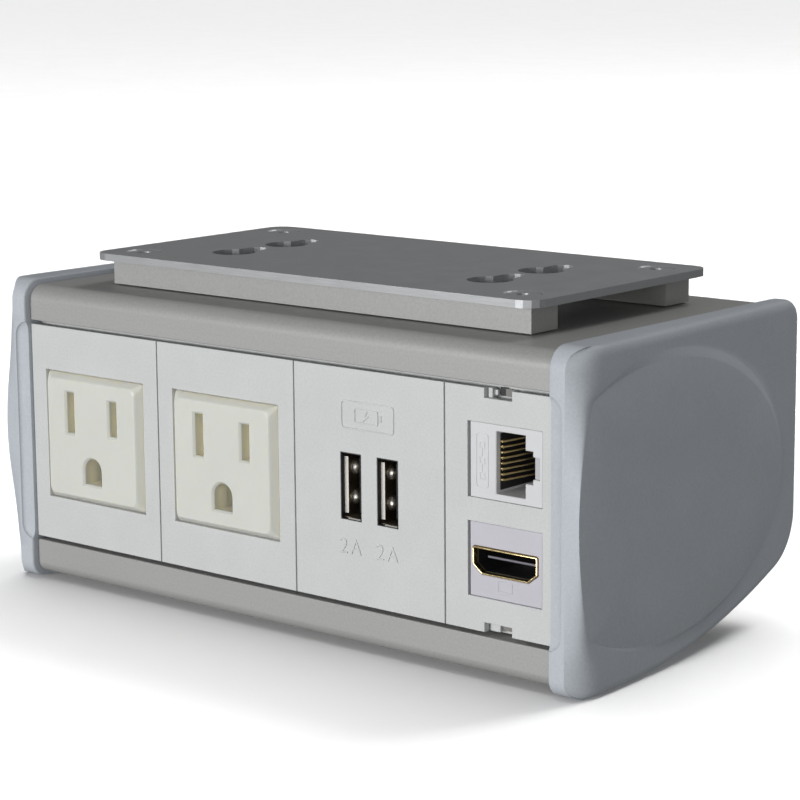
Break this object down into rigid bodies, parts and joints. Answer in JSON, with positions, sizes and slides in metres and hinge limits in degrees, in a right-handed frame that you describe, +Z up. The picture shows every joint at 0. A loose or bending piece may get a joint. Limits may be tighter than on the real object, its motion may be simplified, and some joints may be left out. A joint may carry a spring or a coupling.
{
  "type": "desk power strip",
  "caption": "Under-desk power and data strip: an extruded case with crowned end caps, holding shuttered receptacles, USB charging, a network jack and a video socket.",
  "frame": {"origin": "centre of the mounting plate's top face, where it meets the underside of the desk", "axes": "+Z up into the desk, -Y out of the modules' face, +X to the right seen from the front, along the module row"},
  "size_m": [0.1506, 0.0799, 0.07],
  "materials": {
    "cap_paint": "fine texture, satin",
    "anodised": "satin anodised",
    "module_grey": "fine spark texture",
    "socket_cream": "semi-gloss",
    "shutter_tan": "matt",
    "jack_white": "semi-gloss",
    "jack_lilac": "satin",
    "black_plastic": "satin",
    "nickel": "bright plated",
    "gold": "gold plated",
    "brass": "bare",
    "zinc_steel": "zinc plated",
    "board_green": "solder resist",
    "rubber": "matt",
    "wire_brown": "satin",
    "wire_blue": "satin",
    "wire_green": "satin"
  },
  "bodies": {
    "root": {"body_extrusion": "anodised", "end_cap_left": "cap_paint", "end_cap_right": "cap_paint", "socket_frame_1": "module_grey", "socket_face_1": "socket_cream", "socket_housing_1": "black_plastic", "shutter_spring_1": "zinc_steel", "hot_contact_1": "brass", "neutral_contact_1": "brass", "ground_contact_1": "brass", "usb_shell_1": "nickel", "usb_tongue_1": "black_plastic", "inlet_screw_1": "zinc_steel", "socket_frame_2": "module_grey", "socket_face_2": "socket_cream", "socket_housing_2": "black_plastic", "shutter_spring_2": "zinc_steel", "hot_contact_2": "brass", "neutral_contact_2": "brass", "ground_contact_2": "brass", "usb_shell_2": "nickel", "usb_tongue_2": "black_plastic", "inlet_screw_2": "zinc_steel", "usb_frame": "module_grey", "usb_board": "board_green", "usb_transformer": "black_plastic", "usb_capacitor": "black_plastic", "data_frame": "module_grey", "rj45_jack": "jack_white", "rj45_contacts": "gold", "rj45_rear_cap": "jack_white", "hdmi_coupler": "jack_lilac", "hdmi_shell": "gold", "hdmi_tongue": "black_plastic", "inlet_housing": "black_plastic", "cable_grommet": "rubber", "earth_screw": "zinc_steel", "mounting_plate": "zinc_steel", "spacer_bar_front": "anodised", "spacer_bar_rear": "anodised", "nut_strip_front": "zinc_steel", "nut_strip_rear": "zinc_steel", "line_wire": "wire_brown", "neutral_wire": "wire_blue", "earth_wire": "wire_green", "inlet_pin_line": "nickel", "bus_bar_line": "brass", "inlet_pin_neutral": "nickel", "bus_bar_neutral": "brass", "inlet_pin_earth": "nickel", "bus_bar_earth": "brass", "mounting_screw_1": "zinc_steel", "mounting_screw_2": "zinc_steel", "mounting_screw_3": "zinc_steel", "mounting_screw_4": "zinc_steel"},
    "shutter_1": {"shutter_1": "shutter_tan"},
    "shutter_2": {"shutter_2": "shutter_tan"}
  },
  "joints": [
    {"name": "shutter_slide_1", "type": "slide", "parent": "root", "child": "shutter_1", "axis": [1, 0, 0], "range_m": [0, 0.003], "stiffness_N_per_m": 80, "springref_m": -0.002, "deforming": ["shutter_spring_1"]},
    {"name": "shutter_slide_2", "type": "slide", "parent": "root", "child": "shutter_2", "axis": [1, 0, 0], "range_m": [0, 0.003], "stiffness_N_per_m": 80, "springref_m": -0.002, "deforming": ["shutter_spring_2"]}
  ]
}
